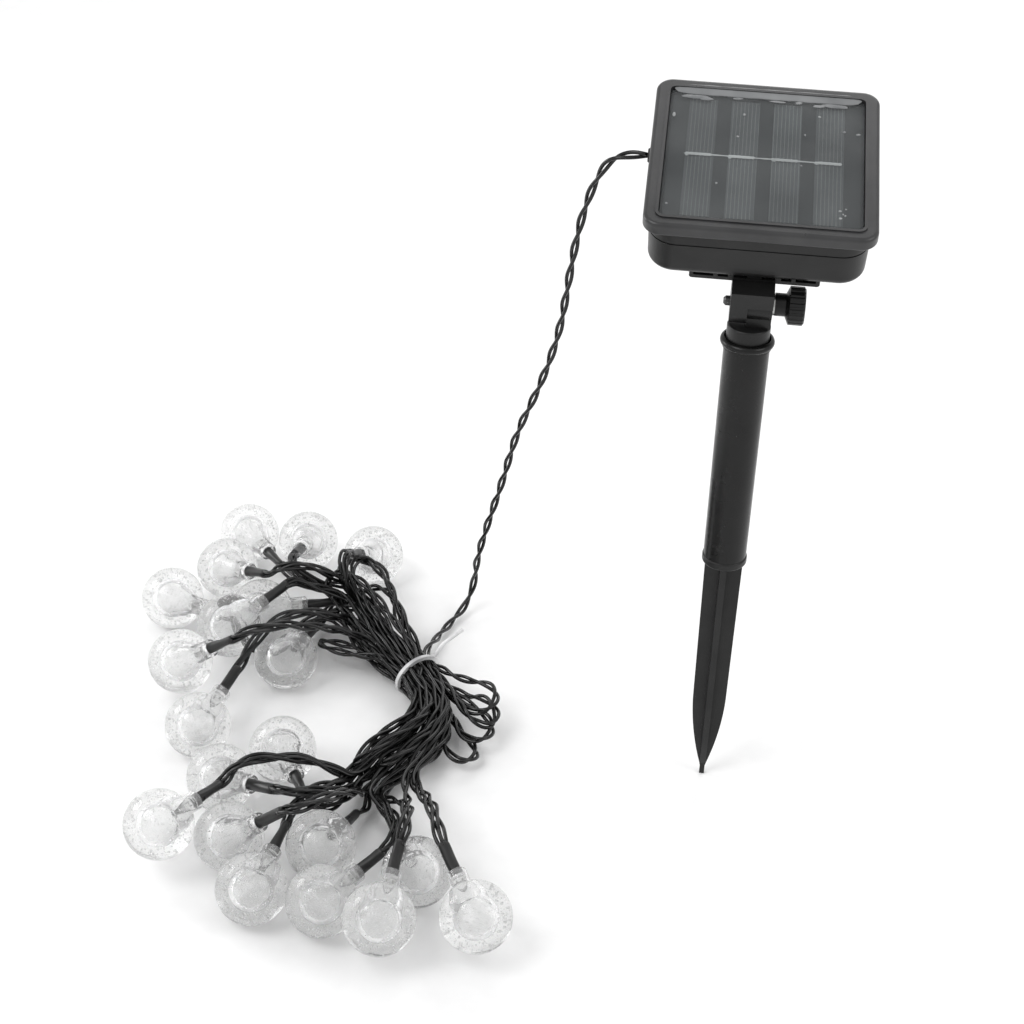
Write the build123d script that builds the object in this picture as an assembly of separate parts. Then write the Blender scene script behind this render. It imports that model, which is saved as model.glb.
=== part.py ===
from build123d import *
import math
import os

# Solar string lights: a solar head on a ground stake, and a tied hank of 20 bubble globes.
# Millimetres, +Z up. The origin is the tip of the spike, on the surface that the string lies on.
# The front of the head, its low edge, faces -Y.

# ---- driving dimensions ----
HINGE_Z = 240.0          # height of the tilt hinge's axis above the spike's tip
REST_TILT = 16.3         # rear edge of the panel above its front edge, degrees

# Solar head, in its own frame: the hinge's axis is X through (0, 0, 0)
HEAD_Y = 40.0            # middle of the head, behind the hinge
FRAME_SIDE = 90.0
FRAME_CORNER = 7.0
CASE_SIDE = 85.5
CASE_CORNER = 11.0
CASE_WALL = 2.2
CASE_DRAFT = 1.5         # degrees
CASE_BOTTOM = 16.5       # underside of the floor, the roof of the bracket's channel
SKIRT_BOTTOM = 14.0      # the casing stands lower on either side of the channel and in front of it
CHANNEL_WIDTH = 52.0
CHANNEL_FRONT = -0.4
RIBBON_Y = 0.5           # ribbon behind the panel's middle
SEAL_BOTTOM = 29.2
SEAL_TOP = 29.8
SEAL_INSET = 0.4
FRAME_BOTTOM = 35.5
FRAME_FLOOR = 37.0
FRAME_TOP = 41.0
LIP_TOP = 41.5
LIP_WIDTH = 1.3
POCKET_SIDE = 78.6
POCKET_CORNER = 2.5
BOARD_TOP = 38.4
CELL_THICKNESS = 0.25
RIBBON_THICKNESS = 0.2
COVER_RECESS_TOP = 39.0
COVER_TOP = 39.9
CELL_WIDTH = 11.3
CELL_LENGTH = 71.0
CELL_PITCH = 17.0
CELL_COUNT = 4

# Hinge and bracket
BLOCK_HALF = 8.4         # half the knuckle's width along X
SPLIT_X = -1.4           # where the bracket's ear ends and the post's ear begins
FACE_GAP = 0.05
EAR_RADIUS = 8.4
POST_EAR_RADIUS = 6.6
POST_EAR_CLEARANCE = 0.3
POST_NECK_HALF = 3.8
BLOCK_LOW_EDGE = 4.1
BRACKET_WIDTH = 51.0
BRACKET_FRONT = -0.2
BRACKET_REAR = 30.0
BRACKET_BOTTOM = 11.0
BRACKET_TOP = 16.3
RAIL_LENGTH = 26.6       # the casing's two hooked rails, which hold the bracket's T sections
RAIL_Y = 14.8
RAIL_BOTTOM = 13.2
RAIL_LIP_TOP = 14.1
BOLT_RADIUS = 2.0
BOLT_CLEARANCE = 0.08
BOLT_TIP_X = -11.1
NUT_FLATS = 7.0
NUT_THICKNESS = 3.2
WASHER_RADIUS = 4.5
WASHER_THICKNESS = 0.8
KNOB_START_X = 9.3
KNOB_RADIUS = 7.7
KNOB_RIBS = 20

# Post, tube and spike, heights above the spike's tip
POST_RADIUS = 8.75
POST_SHOULDER = HINGE_Z - 9.3
PEG_RADIUS = 7.62
PEG_LENGTH = 28.0
TUBE_BORE = 7.7
TUBE_TOP_RADIUS = 9.3
TUBE_FOOT_RADIUS = 9.05
TUBE_TOP = HINGE_Z - 15.2
SEAT_Z = HINGE_Z - 18.7
TUBE_FOOT = 120.5
SPIKE_COLLAR_FOOT = 117.0
BLADE_THICKNESS = 2.7
BLADE_TOP_HALF = 8.0
BLADE_LOW_HALF = 7.25
OGIVE_START = 42.0
NUB_HALF = 1.1
NUB_LENGTH = 5.0

# Power parts in the head, in the head's own frame
BATTERY_RADIUS = 7.25
BATTERY_LENGTH = 50.0
BATTERY_Y = 14.0
BATTERY_Z = 26.6
BOARD_SIZE = (40.0, 34.0, 1.6)
BOARD_Y = 46.0
BOARD_BOTTOM = 29.9
BUTTON_X = 11.0
BUTTON_Y = 42.0
BUTTON_RADIUS = 3.4
BUTTON_PROUD = 1.2
BUTTON_TRAVEL = 0.6
SWITCH_HEIGHT = 3.6
STEM_LENGTH = 1.0
GLAND_Y = 55.0
GLAND_Z = 24.5
GLAND_FACE_X = -46.2
LEAD_DIAMETER = 3.6      # two twisted wires
LEAD_STRAIGHT = 8.0      # straight out of the gland
WIRE_DIAMETER = 1.8

# Bulbs: ball, neck, lamp and sleeve along one axis, from the ball's centre
BALL_RADIUS = 15.0
NECK_RADIUS = 4.25
NECK_END = 22.0
NECK_BORE = 3.0
FLANGE_START = 18.0
FLANGE_END = 19.5
LAMP_RADIUS = 2.5
LAMP_TIP = 10.4
SLEEVE_RADIUS = 2.6
SLEEVE_END = 37.0
TAIL_RADIUS = 2.2
TAIL_STRAIGHT = 3.0      # straight out of the sleeve
CAVITY_RADIUS = 7.6

# One row for each bulb: the ball's centre, then the heading and the lift of its neck in degrees
BULBS = [
    (-238, 137, 15, -52, 3),
    (-207, 135, 15, -90, 23),
    (-172, 127, 15, -103, 34),
    (-242, 103, 16, -43, 24),
    (-263, 75, 15, -26, 6),
    (-245, 18, 21, -18, 38),
    (-228, -20, 15, 72, 13),
    (-227, 41.6, 26.6, 53, 9),
    (-199, 36, 15, 79, -12),
    (-218, 72, 15, 20, 0),
    (-225, -101.5, 27.5, 59, -3),
    (-210, -54, 15, -36, 22),
    (-187, -31, 15, -64, 6),
    (-198, -91, 15, -20, 43),
    (-182, -121, 15, 78, 8),
    (-158, -94, 18, 75, -17),
    (-152, -125, 16, 58, 2),
    (-126, -139, 23, 85, 16),
    (-116, -102, 16, 112, -20),
    (-88, -130, 21, 120, 15),
]

# Each bulb's tail: the points that its wires pass, from the sleeve into the hank
TAILS = [
    [(-208, 99, 17.5), (-198, 93, 17), (-184, 91, 14)],
    [(-207, 94, 32), (-204, 88, 29), (-194, 88, 22), (-182, 90, 15)],
    [(-180, 91, 40), (-180, 85, 37), (-177, 81, 29), (-173, 83, 18)],
    [(-211, 76, 37), (-200, 80, 39), (-190, 85, 32), (-180, 89, 25), (-172, 88, 18)],
    [(-224, 54, 10), (-217, 51, 5), (-206, 54, 7), (-198, 64, 13), (-189, 70, 16), (-176, 77, 14)],
    [(-210, 12, 47), (-198, 20, 46), (-186, 34, 36), (-174, 50, 24), (-162, 62, 14)],
    [(-214, 23, 27), (-206, 38, 34), (-193, 52, 32), (-179, 61, 23), (-167, 71, 14)],
    [(-200, 76, 31), (-193, 79, 26), (-184, 82, 23), (-174, 84, 16)],
    [(-190, 80, 7), (-180, 86, 9)],
    [(-176, 87.5, 16), (-169, 86, 15)],
    [(-202, -64, 30), (-194, -60, 33), (-184, -54, 30), (-173, -46, 24), (-160, -42, 15), (-150, -40, 9)],
    [(-175, -77, 31), (-165, -72, 28), (-158, -58, 19), (-152, -46, 11)],
    [(-166, -68, 16), (-161, -62, 11), (-156, -54, 9), (-150, -45, 7)],
    [(-166, -102, 44), (-157, -93, 43), (-151, -76, 33), (-148, -60, 19), (-144, -46, 10)],
    [(-173, -78, 23), (-167, -67, 25), (-159, -54, 18), (-150, -43, 11)],
    [(-146, -52, 5), (-142, -44, 6)],
    [(-128, -87, 19), (-129, -75, 18), (-136, -60, 14), (-140, -48, 9)],
    [(-122, -96, 35), (-123, -82, 33), (-127, -64, 21), (-132, -48, 11)],
    [(-130, -62, 2.8), (-134, -52, 6)],
    [(-109, -92, 33), (-114, -76, 31), (-120, -58, 20), (-127, -44, 11)],
]

# The lead's route after it leaves the gland, down to the surface and into the hank
LEAD_ROUTE = [
    (-62.5, 48, 274.5),
    (-69, 50.5, 259),
    (-73.5, 54, 238),
    (-76.5, 58.5, 212),
    (-79.5, 66, 184),
    (-87.5, 74, 152),
    (-98, 82, 122),
    (-104, 90.5, 91),
    (-112, 98, 58),
    (-117, 104, 34),
    (-118.5, 110, 15),
    (-122, 105, 4.5),
    (-127, 94, 2.8),
    (-131, 82, 3.5),
    (-133, 70, 7),
    (-136, 58, 9),
]

# The hank's stations: centre x, y, heading of the bundle, width, height
WAIST = (-137, 41, 138, 22, 15)
UPPER_STATIONS = [WAIST, (-152, 60, 126, 38, 19), (-169, 83, 128, 46, 26), (-179, 96, 130, 38, 24)]
LOWER_STATIONS = [
    WAIST,
    (-121, 20, 115, 34, 19),
    (-119, -6, 75, 44, 20),
    (-133, -30, 50, 54, 20),
    (-149, -48, 47, 38, 16),
]
HANK_FLOOR = 1.0
TIE_RADIUS = 0.9
TIE_TAIL = [(-129.6, 47.7, 15), (-127, 51, 19.5), (-122, 55, 22), (-118, 60, 23)]


# ---- helpers ----
def slab(width, depth, bottom, top, x=0.0, y=0.0):
    """A box centred on x, y between two heights."""
    return Pos(x, y, (bottom + top) / 2) * Box(width, depth, top - bottom)


def rounded_slab(side, corner, bottom, top, y=0.0, draft=0.0):
    """A square slab with rounded corners, drawn in towards its bottom by the draft."""
    face = Pos(0, y, top) * RectangleRounded(side, side, corner)
    return extrude(face, top - bottom, dir=(0, 0, -1), taper=draft)


def rod_x(radius, start, end, y=0.0, z=0.0):
    """A round bar along X."""
    return Pos((start + end) / 2, y, z) * Rot(0, 90, 0) * Cylinder(radius, end - start)


def hex_x(flats, start, end):
    """A hexagonal bar along X."""
    side = Plane.YZ.offset(start) * RegularPolygon(flats / 2, 6, major_radius=False)
    return extrude(side, end - start, dir=(1, 0, 0))


def in_head(shape):
    """From the head's own frame to the tilted place that it rests in."""
    return Pos(0, 0, HINGE_Z) * Rot(REST_TILT, 0, 0) * shape


def save(shape, node):
    """One STEP file for each node."""
    export_step(shape, f"parts/{node}.step")


def corner_radii(points):
    """The radius at each corner of a route: as large as its two runs allow."""
    radii = []
    for before, corner, after in zip(points, points[1:], points[2:]):
        run_in = Vector(*corner) - Vector(*before)
        run_out = Vector(*after) - Vector(*corner)
        half_turn = math.radians(run_in.get_angle(run_out)) / 2
        radii.append(0.45 * min(run_in.length, run_out.length) / math.tan(half_turn))
    return radii


def tube_along(points, radius, name):
    """A round tube on straight runs that are joined by tangent arcs."""
    radii = corner_radii(points)
    path = FilletPolyline(*points, radius=radii) if len(points) > 2 else Line(*points)
    start = Plane(origin=path @ 0, z_dir=path % 0)
    tube = sweep(start * Circle(radius), path=path)
    expected = math.pi * radius**2 * path.length
    print(name, "length", round(path.length, 1), "radii", [round(r, 1) for r in radii],
          "volume ratio", round(tube.volume / expected, 4))
    return tube


# ---- stake: spike and tube ----
def make_spike():
    ogive = [
        Line((0, SPIKE_COLLAR_FOOT), (BLADE_TOP_HALF, SPIKE_COLLAR_FOOT)),
        Line((BLADE_TOP_HALF, SPIKE_COLLAR_FOOT), (BLADE_LOW_HALF, OGIVE_START)),
        ThreePointArc((BLADE_LOW_HALF, OGIVE_START), (5.3, 23), (NUB_HALF, NUB_LENGTH)),
        Line((NUB_HALF, NUB_LENGTH), (NUB_HALF, 0)),
        Line((NUB_HALF, 0), (0, 0)),
        Line((0, 0), (0, SPIKE_COLLAR_FOOT)),
    ]
    half = extrude(Plane.XZ * make_face(ogive), BLADE_THICKNESS / 2, both=True)
    blades = sum((Rot(0, 0, turn) * half for turn in (90, 180, 270)), half)
    blades -= slab(30, 30, -1, NUB_LENGTH) - slab(2 * NUB_HALF, 2 * NUB_HALF, -1, NUB_LENGTH)
    collar = Pos(0, 0, (SPIKE_COLLAR_FOOT + TUBE_FOOT) / 2) * Cylinder(9.5, TUBE_FOOT - SPIKE_COLLAR_FOOT)
    collar = fillet(collar.edges(), 0.8)
    plug_top = TUBE_FOOT + 18
    plug = Pos(0, 0, (TUBE_FOOT + plug_top) / 2) * Cylinder(PEG_RADIUS, plug_top - TUBE_FOOT)
    plug = chamfer(plug.edges().group_by(Axis.Z)[-1], 0.8)
    return blades + collar + plug


def make_stake_tube():
    outline = Polyline(
        (TUBE_BORE, TUBE_FOOT),
        (TUBE_FOOT_RADIUS, TUBE_FOOT),
        (TUBE_TOP_RADIUS, TUBE_TOP - 4.2),
        (9.9, TUBE_TOP - 4.2),
        (9.9, TUBE_TOP - 3.3),
    )
    bead = ThreePointArc((9.9, TUBE_TOP - 3.3), (10.95, TUBE_TOP - 1.8), (9.5, TUBE_TOP))
    inside = Polyline(
        (9.5, TUBE_TOP),
        (POST_RADIUS + 0.25, TUBE_TOP - 0.6),
        (POST_RADIUS + 0.25, SEAT_Z),
        (TUBE_BORE, SEAT_Z),
        (TUBE_BORE, TUBE_FOOT),
    )
    return revolve(Plane.XZ * make_face([outline, bead, inside]), Axis.Z)


# ---- post that plugs into the tube and carries the hinge ----
def make_swivel_post():
    foot = SEAT_Z + 0.08
    drum = Pos(0, 0, (POST_SHOULDER + foot) / 2) * Cylinder(POST_RADIUS, POST_SHOULDER - foot)
    drum = fillet(drum.edges().group_by(Axis.Z)[-1], 0.9)
    peg = Pos(0, 0, foot - PEG_LENGTH / 2) * Cylinder(PEG_RADIUS, PEG_LENGTH)
    peg = chamfer(peg.edges().group_by(Axis.Z)[0], 1.0)
    ear_start = SPLIT_X + FACE_GAP
    ear_width = BLOCK_HALF - ear_start
    ear = rod_x(POST_EAR_RADIUS, ear_start, BLOCK_HALF)
    ear += slab(ear_width, 2 * POST_NECK_HALF, -9.6, 0, x=ear_start + ear_width / 2)
    ear -= rod_x(BOLT_RADIUS + BOLT_CLEARANCE, ear_start - 1, BLOCK_HALF + 1)
    return drum + peg + Pos(0, 0, HINGE_Z) * ear


# ---- hinge hardware ----
def make_hinge_bolt():
    shaft = rod_x(BOLT_RADIUS, BOLT_TIP_X, 16.0)
    shaft = chamfer(shaft.edges().sort_by(Axis.X)[0], 0.9)
    return Pos(0, 0, HINGE_Z) * (shaft + hex_x(NUT_FLATS, 16.0, 18.8))


def make_hinge_nut():
    nut = hex_x(NUT_FLATS, -BLOCK_HALF, -BLOCK_HALF + NUT_THICKNESS)
    nut -= rod_x(BOLT_RADIUS + BOLT_CLEARANCE, -12, 0)
    return in_head(nut)


def make_washer():
    ring = rod_x(WASHER_RADIUS, BLOCK_HALF, BLOCK_HALF + WASHER_THICKNESS)
    ring -= rod_x(BOLT_RADIUS + BOLT_CLEARANCE, 0, 12)
    return Pos(0, 0, HINGE_Z) * ring


def make_tilt_knob():
    side = Plane.XY * make_face(Polyline(
        (KNOB_START_X, 0), (KNOB_START_X, 4.6), (13.4, 4.6), (14.8, KNOB_RADIUS),
        (20.3, KNOB_RADIUS), (21.0, KNOB_RADIUS - 0.8), (21.0, 0), (KNOB_START_X, 0)))
    knob = revolve(side, Axis.X)
    for rib in range(KNOB_RIBS):
        turn = Rot(rib * 360 / KNOB_RIBS, 0, 0)
        knob -= turn * Pos(18.2, 0, KNOB_RADIUS + 0.35) * Rot(0, 90, 0) * Cylinder(0.75, 6.6)
    knob = Pos(0, 0, HINGE_Z) * knob
    return knob - make_hinge_bolt()


# ---- bracket under the head ----
def make_mount_bracket():
    length = BRACKET_REAR - BRACKET_FRONT
    middle = (BRACKET_REAR + BRACKET_FRONT) / 2
    base_top = BRACKET_BOTTOM + 1.6
    bracket = slab(BRACKET_WIDTH, length, BRACKET_BOTTOM, base_top, y=middle)
    bracket = fillet(bracket.edges().filter_by(Axis.Y).group_by(Axis.Z)[0], 1.2)
    for side in (-1, 1):
        edge = side * (BRACKET_WIDTH / 2 - 0.8)
        bracket += slab(1.6, length, base_top - 0.5, BRACKET_TOP, x=edge, y=middle)
        bracket += slab(1.6, length, base_top - 0.5, BRACKET_TOP, x=side * 15.2, y=middle)
        bracket += slab(2.2, length, base_top - 0.5, 14.5, x=side * 9.2, y=middle)
        bracket += slab(6.6, length, 14.4, 15.7, x=side * 8.6, y=middle)
    bracket += slab(BRACKET_WIDTH, 1.6, base_top - 0.5, BRACKET_TOP, y=BRACKET_REAR - 0.8)
    tongue = slab(5.6, 8.0, base_top - 0.5, 14.6, y=BRACKET_FRONT + 4.2)
    bracket += chamfer(tongue.edges().filter_by(Axis.Y).group_by(Axis.Z)[-1], 0.7)
    block = slab(2 * BLOCK_HALF, 2 * EAR_RADIUS, BLOCK_LOW_EDGE, BRACKET_BOTTOM + 0.5)
    block -= rod_x(POST_EAR_RADIUS + POST_EAR_CLEARANCE, SPLIT_X, BLOCK_HALF + 1)
    ear_width = BLOCK_HALF + SPLIT_X
    ear_middle = -BLOCK_HALF + ear_width / 2
    ear = rod_x(EAR_RADIUS, -BLOCK_HALF, SPLIT_X - FACE_GAP)
    ear += slab(ear_width - FACE_GAP, 2 * EAR_RADIUS, 0, BLOCK_LOW_EDGE, x=ear_middle - FACE_GAP / 2)
    bracket += block + ear
    bracket -= hex_x(NUT_FLATS, -BLOCK_HALF - 1, -BLOCK_HALF + NUT_THICKNESS)
    bracket -= rod_x(BOLT_RADIUS + BOLT_CLEARANCE, -12, 12)
    return in_head(bracket)


# ---- head: casings, frame, panel ----
def make_lower_casing():
    shell = rounded_slab(CASE_SIDE, CASE_CORNER, SKIRT_BOTTOM, SEAL_BOTTOM, HEAD_Y, CASE_DRAFT)
    shell = fillet(shell.edges().group_by(Axis.Z)[0], 3.6)
    floor_top = CASE_BOTTOM + CASE_WALL
    inner_side = CASE_SIDE - 2 * CASE_WALL
    inner = rounded_slab(inner_side, CASE_CORNER - CASE_WALL, floor_top, SEAL_BOTTOM, HEAD_Y, CASE_DRAFT)
    shell -= inner
    channel_length = CASE_SIDE + HEAD_Y
    channel_middle = CHANNEL_FRONT + channel_length / 2
    shell -= slab(CHANNEL_WIDTH, channel_length, SKIRT_BOTTOM - 1, CASE_BOTTOM, y=channel_middle)
    shell += slab(25, 1.4, 19.5, 27.5, y=HEAD_Y - CASE_SIDE / 2 + 0.75)
    for x, y in screw_places():
        shell += slab(6, 6, floor_top - 0.5, SEAL_BOTTOM, x=x, y=y) & rounded_slab(
            CASE_SIDE - 1, CASE_CORNER, CASE_BOTTOM, SEAL_BOTTOM, HEAD_Y, CASE_DRAFT)
    for side in (-1, 1):
        shell += slab(0.9, RAIL_LENGTH, RAIL_BOTTOM, CASE_BOTTOM + 0.5, x=side * 13.1, y=RAIL_Y)
        shell += slab(2.4, RAIL_LENGTH, RAIL_BOTTOM, RAIL_LIP_TOP, x=side * 12.2, y=RAIL_Y)
        shell += slab(0.9, RAIL_LENGTH, RAIL_BOTTOM, CASE_BOTTOM + 0.5, x=side * 4.2, y=RAIL_Y)
        shell += slab(3.2, RAIL_LENGTH, RAIL_BOTTOM, RAIL_LIP_TOP, x=side * 5.7, y=RAIL_Y)
        shell += slab(4, 4, floor_top - 0.5, BOARD_BOTTOM, x=side * 16, y=BOARD_Y + 14)
    for x, y in screw_places():
        shell -= Pos(x, y, (SKIRT_BOTTOM + 19.5) / 2 - 0.5) * Cylinder(2.4, 20.5 - SKIRT_BOTTOM)
        shell -= Pos(x, y, 25) * Cylinder(1.35, 12)
    for side in (-1, 1):
        shell -= Pos(side * BUTTON_X, BUTTON_Y, CASE_BOTTOM) * Cylinder(BUTTON_RADIUS + 0.9, 8)
    shell -= rod_x(3.0, -50, -30, GLAND_Y, GLAND_Z)
    return in_head(shell)


def screw_places():
    """The four casing screws, in the head's own frame."""
    reach = CASE_SIDE / 2 - 7.5
    return [(x * reach, HEAD_Y + y * reach) for x in (-1, 1) for y in (-1, 1)]


def make_casing_seal():
    outer = rounded_slab(CASE_SIDE - 2 * SEAL_INSET, CASE_CORNER, SEAL_BOTTOM, SEAL_TOP, HEAD_Y)
    inner = rounded_slab(CASE_SIDE - 2 * CASE_WALL, CASE_CORNER - CASE_WALL, SEAL_BOTTOM, SEAL_TOP, HEAD_Y)
    return in_head(outer - inner)


def make_upper_casing():
    band = rounded_slab(CASE_SIDE, CASE_CORNER, SEAL_TOP, FRAME_BOTTOM, HEAD_Y)
    band -= rounded_slab(CASE_SIDE - 2 * CASE_WALL, CASE_CORNER - CASE_WALL, SEAL_TOP, FRAME_BOTTOM, HEAD_Y)
    for x, y in screw_places():
        band += slab(6, 6, SEAL_TOP, FRAME_BOTTOM, x=x, y=y)
        band -= Pos(x, y, SEAL_TOP + 2) * Cylinder(1.25, 4.4)
    return in_head(band)


def make_panel_frame():
    frame = rounded_slab(FRAME_SIDE, FRAME_CORNER, FRAME_BOTTOM, FRAME_TOP, HEAD_Y)
    frame = fillet(frame.edges().group_by(Axis.Z)[-1], 1.6)
    frame = fillet(frame.edges().group_by(Axis.Z)[0], 0.8)
    lip_side = POCKET_SIDE + 2 * LIP_WIDTH
    frame += rounded_slab(lip_side, POCKET_CORNER + LIP_WIDTH, FRAME_TOP - 1, LIP_TOP, HEAD_Y)
    frame -= rounded_slab(POCKET_SIDE, POCKET_CORNER, FRAME_FLOOR, LIP_TOP, HEAD_Y)
    frame -= slab(10, 6, FRAME_BOTTOM - 1, FRAME_FLOOR, y=HEAD_Y + 10)
    return in_head(frame)


def make_panel_board():
    board = rounded_slab(POCKET_SIDE - 0.2, POCKET_CORNER, FRAME_FLOOR, BOARD_TOP, HEAD_Y)
    return in_head(board)


def cell_places():
    """The middle of each cell strip along X."""
    return [(i - (CELL_COUNT - 1) / 2) * CELL_PITCH for i in range(CELL_COUNT)]


def make_solar_cells():
    cells = [slab(CELL_WIDTH, CELL_LENGTH, BOARD_TOP, BOARD_TOP + CELL_THICKNESS, x=x, y=HEAD_Y)
             for x in cell_places()]
    return Compound(children=[in_head(cell) for cell in cells])


def make_bus_ribbon():
    bottom = BOARD_TOP + CELL_THICKNESS
    link_length = (CELL_COUNT - 1) * CELL_PITCH + CELL_WIDTH + 2
    ribbon = slab(link_length, 0.8, bottom, bottom + RIBBON_THICKNESS, x=-0.8, y=HEAD_Y + RIBBON_Y)
    for x in cell_places():
        ribbon += slab(CELL_WIDTH - 1.6, 1.7, bottom, bottom + RIBBON_THICKNESS, x=x + 0.4, y=HEAD_Y + RIBBON_Y)
    return in_head(ribbon)


def make_panel_cover():
    cover = rounded_slab(POCKET_SIDE - 0.2, POCKET_CORNER, BOARD_TOP, COVER_TOP, HEAD_Y)
    cover = fillet(cover.edges().group_by(Axis.Z)[-1], 0.5)
    cover -= rounded_slab(POCKET_SIDE - 3, POCKET_CORNER, BOARD_TOP, COVER_RECESS_TOP, HEAD_Y)
    return in_head(cover)


# ---- inside the head ----
def make_battery_cell():
    can = rod_x(BATTERY_RADIUS, -BATTERY_LENGTH / 2, BATTERY_LENGTH / 2 - 1.5, BATTERY_Y, BATTERY_Z)
    can = fillet(can.edges(), 0.6)
    return in_head(can + rod_x(2.7, BATTERY_LENGTH / 2 - 2, BATTERY_LENGTH / 2, BATTERY_Y, BATTERY_Z))


def make_battery_holder():
    floor_top = CASE_BOTTOM + CASE_WALL
    tray = slab(58.4, 13, floor_top, 24.0, y=BATTERY_Y)
    tray -= rod_x(BATTERY_RADIUS + 0.1, -28.4, 28.4, BATTERY_Y, BATTERY_Z)
    tray -= slab(56.8, 20, 21.5, 30, y=BATTERY_Y)
    for side in (-1, 1):
        tray += slab(0.8, 13, 20, 33, x=side * 28.8, y=BATTERY_Y)
    return in_head(tray)


def make_contact_plate():
    return in_head(slab(0.4, 9, BATTERY_Z - 4, BATTERY_Z + 4, x=28.2, y=BATTERY_Y)
                   + rod_x(1.6, 25.0, 28.2, BATTERY_Y, BATTERY_Z))


def make_contact_spring():
    helix = Helix(pitch=1.0, height=2.6, radius=3.0, cone_angle=0)
    start = Plane(origin=helix @ 0, z_dir=helix % 0)
    coil = sweep(start * Circle(0.35), path=helix, is_frenet=True)
    spring = Pos(-28.05, BATTERY_Y, BATTERY_Z) * Rot(0, 90, 0) * coil
    plate = slab(0.4, 9, BATTERY_Z - 4, BATTERY_Z + 4, x=-28.2, y=BATTERY_Y)
    return in_head(spring + plate)


def make_circuit_board():
    width, depth, thickness = BOARD_SIZE
    board = slab(width, depth, BOARD_BOTTOM, BOARD_BOTTOM + thickness, y=BOARD_Y)
    return in_head(board)


def make_board_components():
    top = BOARD_BOTTOM + BOARD_SIZE[2]
    chip = slab(5, 4, top, top + 1.5, x=-8, y=BOARD_Y)
    coil = Pos(6, BOARD_Y + 6, top + 1.25) * Cylinder(2.5, 2.5)
    diode = slab(4.4, 2.6, top, top + 2, x=8, y=BOARD_Y - 8)
    capacitor = slab(3.2, 1.6, top, top + 1.1, x=-10, y=BOARD_Y + 9)
    return Compound(children=[in_head(piece) for piece in (chip, coil, diode, capacitor)])


def make_tact_switches():
    switches = []
    for side in (-1, 1):
        body = slab(6, 6, BOARD_BOTTOM - SWITCH_HEIGHT, BOARD_BOTTOM, x=side * BUTTON_X, y=BUTTON_Y)
        stem_z = BOARD_BOTTOM - SWITCH_HEIGHT - STEM_LENGTH / 2
        switches.append(in_head(body + Pos(side * BUTTON_X, BUTTON_Y, stem_z) * Cylinder(1.7, STEM_LENGTH)))
    return Compound(children=switches)


def make_button(side):
    """A push button on the underside: a cap in its hole and a flange that stops it falling out."""
    top = BOARD_BOTTOM - SWITCH_HEIGHT - STEM_LENGTH - BUTTON_TRAVEL - 0.1
    bottom = CASE_BOTTOM - BUTTON_PROUD
    cap = Pos(0, 0, (bottom + top) / 2) * Cylinder(BUTTON_RADIUS, top - bottom)
    cap = fillet(cap.edges().group_by(Axis.Z)[0], 0.8)
    flange_bottom = CASE_BOTTOM + CASE_WALL + 1.6
    flange = Pos(0, 0, flange_bottom + 0.6) * Cylinder(BUTTON_RADIUS + 1.4, 1.2)
    return in_head(Pos(side * BUTTON_X, BUTTON_Y, 0) * (cap + flange))


def make_button_seals():
    seals = []
    for side in (-1, 1):
        bottom = CASE_BOTTOM + CASE_WALL
        ring = Pos(0, 0, bottom + 0.75) * Cylinder(BUTTON_RADIUS + 2.0, 1.4)
        ring -= Pos(0, 0, bottom) * Cylinder(BUTTON_RADIUS + 0.06, 10)
        seals.append(in_head(Pos(side * BUTTON_X, BUTTON_Y, 0) * ring))
    return Compound(children=seals)


def make_casing_screws():
    screws = []
    for x, y in screw_places():
        head = Pos(x, y, 18.3) * Cylinder(2.2, 1.5)
        shaft = Pos(x, y, 25.3) * Cylinder(1.2, 12.6)
        slot = slab(3.0, 0.6, 17.0, 18.1, x=x, y=y) + slab(0.6, 3.0, 17.0, 18.1, x=x, y=y)
        screws.append(in_head(head + shaft - slot))
    return Compound(children=screws)


def make_cable_gland():
    wall = CASE_SIDE / 2
    body = rod_x(3.0, -wall - 1, -wall + 6, GLAND_Y, GLAND_Z)
    body += rod_x(4.2, -wall + 2.6, -wall + 4.6, GLAND_Y, GLAND_Z)
    nose = Plane.XY * make_face(Polyline((-wall - 0.4, 0), (-wall - 0.4, 4.0), (-wall - 1.4, 4.0),
                                         (GLAND_FACE_X, 2.6), (GLAND_FACE_X, 0), (-wall - 0.4, 0)))
    body += Pos(0, GLAND_Y, GLAND_Z) * revolve(nose, Axis.X)
    return in_head(body)


def make_panel_wires():
    top = FRAME_FLOOR
    bottom = BOARD_BOTTOM + BOARD_SIZE[2]
    wire = Cylinder(WIRE_DIAMETER / 2, top - bottom)
    wires = [Pos(x, HEAD_Y + 10, (top + bottom) / 2) * wire for x in (-2, 2)]
    return Compound(children=[in_head(wire) for wire in wires])


# ---- string: lead, hank, tie and bulbs ----
def bulb_axis(bulb):
    """The plane at a ball's centre whose Z points along its neck."""
    x, y, z, heading, lift = bulb
    turn, rise = math.radians(heading), math.radians(lift)
    along = Vector(math.cos(rise) * math.cos(turn), math.cos(rise) * math.sin(turn), math.sin(rise))
    return Plane(origin=(x, y, z), z_dir=along)


def station(values):
    """An elliptical section of the hank, square to its run."""
    x, y, heading, width, height = values
    turn = math.radians(heading)
    place = Plane(
        origin=(x, y, HANK_FLOOR + height / 2),
        x_dir=(-math.sin(turn), math.cos(turn), 0),
        z_dir=(math.cos(turn), math.sin(turn), 0),
    )
    return place * Ellipse(width / 2, height / 2)


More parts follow.
